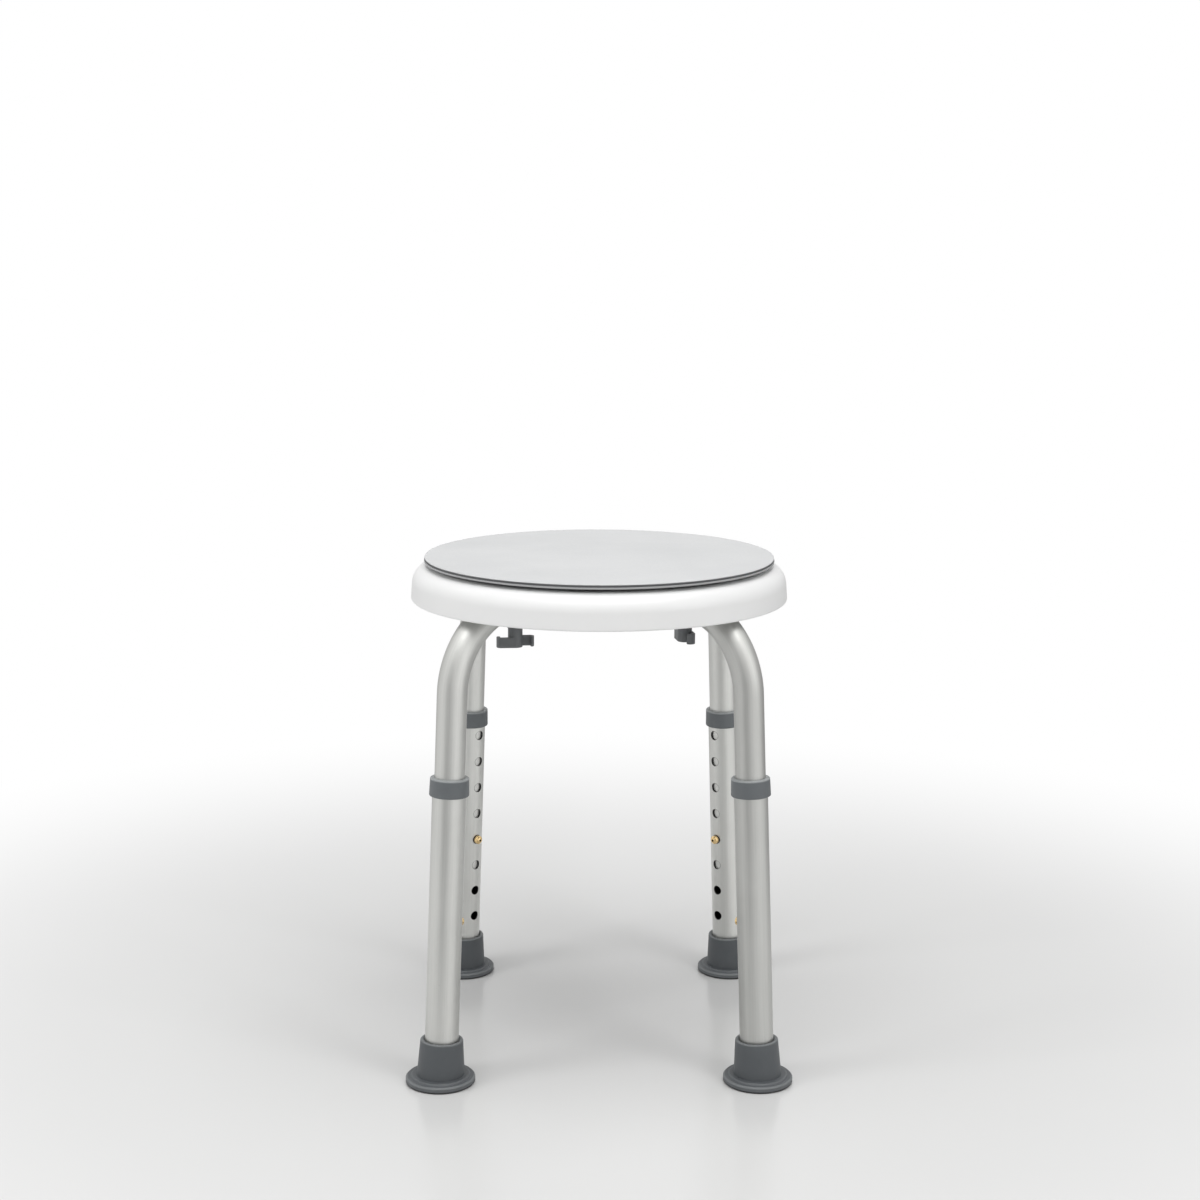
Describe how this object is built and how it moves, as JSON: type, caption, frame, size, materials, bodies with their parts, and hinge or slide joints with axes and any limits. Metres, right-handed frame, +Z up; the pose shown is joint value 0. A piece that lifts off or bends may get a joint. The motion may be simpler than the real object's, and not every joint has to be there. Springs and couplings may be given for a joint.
{
  "type": "shower stool",
  "caption": "Round swivel shower stool with a thin padded disc on a white seat and splayed tubular legs that telescope on snap buttons and end in flanged rubber feet.",
  "frame": {"origin": "on the floor under the middle of the seat, with the snap buttons in the fifth hole", "axes": "+Z up, -Y towards the front; the front legs stand 45.8 degrees from -Y and the rear legs 43.4 degrees from +Y"},
  "size_m": [0.3238, 0.3252, 0.425],
  "materials": {
    "foam_pad": "closed-cell foam with a fine matt grain",
    "plate_plastic": "smooth grey moulding",
    "white_plastic": "glossy white moulding",
    "slide_plastic": "slippery natural white plastic",
    "tube": "satin anodised",
    "grey_plastic": "dark grey moulding with a low sheen",
    "foot_rubber": "dark grey moulded rubber",
    "brass": "turned and polished",
    "steel": "stainless",
    "spring_steel": "rolled strip"
  },
  "bodies": {
    "stool": {"seat_shell": "white_plastic", "thread_inserts": "brass", "glide_ring": "slide_plastic", "thrust_washer": "slide_plastic", "steel_washer": "steel", "upper_leg_front_left": "tube", "upper_leg_front_right": "tube", "upper_leg_rear_right": "tube", "upper_leg_rear_left": "tube", "button_spring_front_left": "spring_steel", "button_spring_front_right": "spring_steel", "button_spring_rear_right": "spring_steel", "button_spring_rear_left": "spring_steel"},
    "swivel_top": {"seat_pad": "foam_pad", "swivel_plate": "plate_plastic", "pivot_bolt": "steel", "pivot_nut": "steel"},
    "leg_front_left": {"lower_leg_front_left": "tube", "collar_front_left": "grey_plastic", "rubber_foot_front_left": "foot_rubber", "foot_disc_front_left": "steel"},
    "button_front_left": {"snap_button_front_left": "brass"},
    "washer_front_left": {"saddle_washer_front_left": "grey_plastic"},
    "knob_front_left": {"wing_knob_front_left": "grey_plastic", "knob_stud_front_left": "steel"},
    "leg_front_right": {"lower_leg_front_right": "tube", "collar_front_right": "grey_plastic", "rubber_foot_front_right": "foot_rubber", "foot_disc_front_right": "steel"},
    "button_front_right": {"snap_button_front_right": "brass"},
    "washer_front_right": {"saddle_washer_front_right": "grey_plastic"},
    "knob_front_right": {"wing_knob_front_right": "grey_plastic", "knob_stud_front_right": "steel"},
    "leg_rear_right": {"lower_leg_rear_right": "tube", "collar_rear_right": "grey_plastic", "rubber_foot_rear_right": "foot_rubber", "foot_disc_rear_right": "steel"},
    "button_rear_right": {"snap_button_rear_right": "brass"},
    "washer_rear_right": {"saddle_washer_rear_right": "grey_plastic"},
    "knob_rear_right": {"wing_knob_rear_right": "grey_plastic", "knob_stud_rear_right": "steel"},
    "leg_rear_left": {"lower_leg_rear_left": "tube", "collar_rear_left": "grey_plastic", "rubber_foot_rear_left": "foot_rubber", "foot_disc_rear_left": "steel"},
    "button_rear_left": {"snap_button_rear_left": "brass"},
    "washer_rear_left": {"saddle_washer_rear_left": "grey_plastic"},
    "knob_rear_left": {"wing_knob_rear_left": "grey_plastic", "knob_stud_rear_left": "steel"}
  },
  "joints": [
    {"name": "seat_swivel", "type": "hinge", "parent": "stool", "child": "swivel_top", "pos_m": [0, 0, 0.42], "axis": [0, 0, 1], "continuous": true},
    {"name": "leg_height_front_left", "type": "slide", "parent": "stool", "child": "leg_front_left", "axis": [0.0363, 0.0353, 0.9987], "range_m": [-0.1016, 0.0508]},
    {"name": "button_press_front_left", "type": "slide", "parent": "stool", "child": "button_front_left", "axis": [-0.716, -0.6963, 0.0506], "range_m": [0, 0.0062], "stiffness_N_per_m": 3000, "springref_m": -0.001, "deforming": ["button_spring_front_left"]},
    {"name": "washer_drop_front_left", "type": "slide", "parent": "stool", "child": "washer_front_left", "axis": [0, 0, 1], "range_m": [0, 0.005]},
    {"name": "knob_turn_front_left", "type": "hinge", "parent": "washer_front_left", "child": "knob_front_left", "pos_m": [-0.07062, -0.06867, 0.37], "axis": [0, 0, 1], "range_deg": [0, 1800]},
    {"name": "leg_height_front_right", "type": "slide", "parent": "stool", "child": "leg_front_right", "axis": [-0.0363, 0.0353, 0.9987], "range_m": [-0.1016, 0.0508]},
    {"name": "button_press_front_right", "type": "slide", "parent": "stool", "child": "button_front_right", "axis": [0.716, -0.6963, 0.0506], "range_m": [0, 0.0062], "stiffness_N_per_m": 3000, "springref_m": -0.001, "deforming": ["button_spring_front_right"]},
    {"name": "washer_drop_front_right", "type": "slide", "parent": "stool", "child": "washer_front_right", "axis": [0, 0, 1], "range_m": [-0.005, 0]},
    {"name": "knob_turn_front_right", "type": "hinge", "parent": "washer_front_right", "child": "knob_front_right", "pos_m": [0.07062, -0.06867, 0.37], "axis": [0, 0, 1], "range_deg": [-1800, 0]},
    {"name": "leg_height_rear_right", "type": "slide", "parent": "stool", "child": "leg_rear_right", "axis": [-0.0348, -0.0368, 0.9987], "range_m": [-0.1016, 0.0508]},
    {"name": "button_press_rear_right", "type": "slide", "parent": "stool", "child": "button_rear_right", "axis": [0.6862, 0.7256, 0.0506], "range_m": [0, 0.0062], "stiffness_N_per_m": 3000, "springref_m": -0.001, "deforming": ["button_spring_rear_right"]},
    {"name": "washer_drop_rear_right", "type": "slide", "parent": "stool", "child": "washer_rear_right", "axis": [0, 0, 1], "range_m": [-0.005, 0]},
    {"name": "knob_turn_rear_right", "type": "hinge", "parent": "washer_rear_right", "child": "knob_rear_right", "pos_m": [0.06768, 0.07157, 0.37], "axis": [0, 0, 1], "range_deg": [-1800, 0]},
    {"name": "leg_height_rear_left", "type": "slide", "parent": "stool", "child": "leg_rear_left", "axis": [0.0348, -0.0368, 0.9987], "range_m": [-0.1016, 0.0508]},
    {"name": "button_press_rear_left", "type": "slide", "parent": "stool", "child": "button_rear_left", "axis": [-0.6862, 0.7256, 0.0506], "range_m": [0, 0.0062], "stiffness_N_per_m": 3000, "springref_m": -0.001, "deforming": ["button_spring_rear_left"]},
    {"name": "washer_drop_rear_left", "type": "slide", "parent": "stool", "child": "washer_rear_left", "axis": [0, 0, 1], "range_m": [-0.005, 0]},
    {"name": "knob_turn_rear_left", "type": "hinge", "parent": "washer_rear_left", "child": "knob_rear_left", "pos_m": [-0.06768, 0.07157, 0.37], "axis": [0, 0, 1], "range_deg": [-1800, 0]}
  ],
  "couplings": [
    {"joint": "knob_turn_front_left", "follows": "washer_drop_front_left", "rad_per_m": 6283.2},
    {"joint": "knob_turn_front_right", "follows": "washer_drop_front_right", "rad_per_m": 6283.2},
    {"joint": "knob_turn_rear_right", "follows": "washer_drop_rear_right", "rad_per_m": 6283.2},
    {"joint": "knob_turn_rear_left", "follows": "washer_drop_rear_left", "rad_per_m": 6283.2}
  ]
}
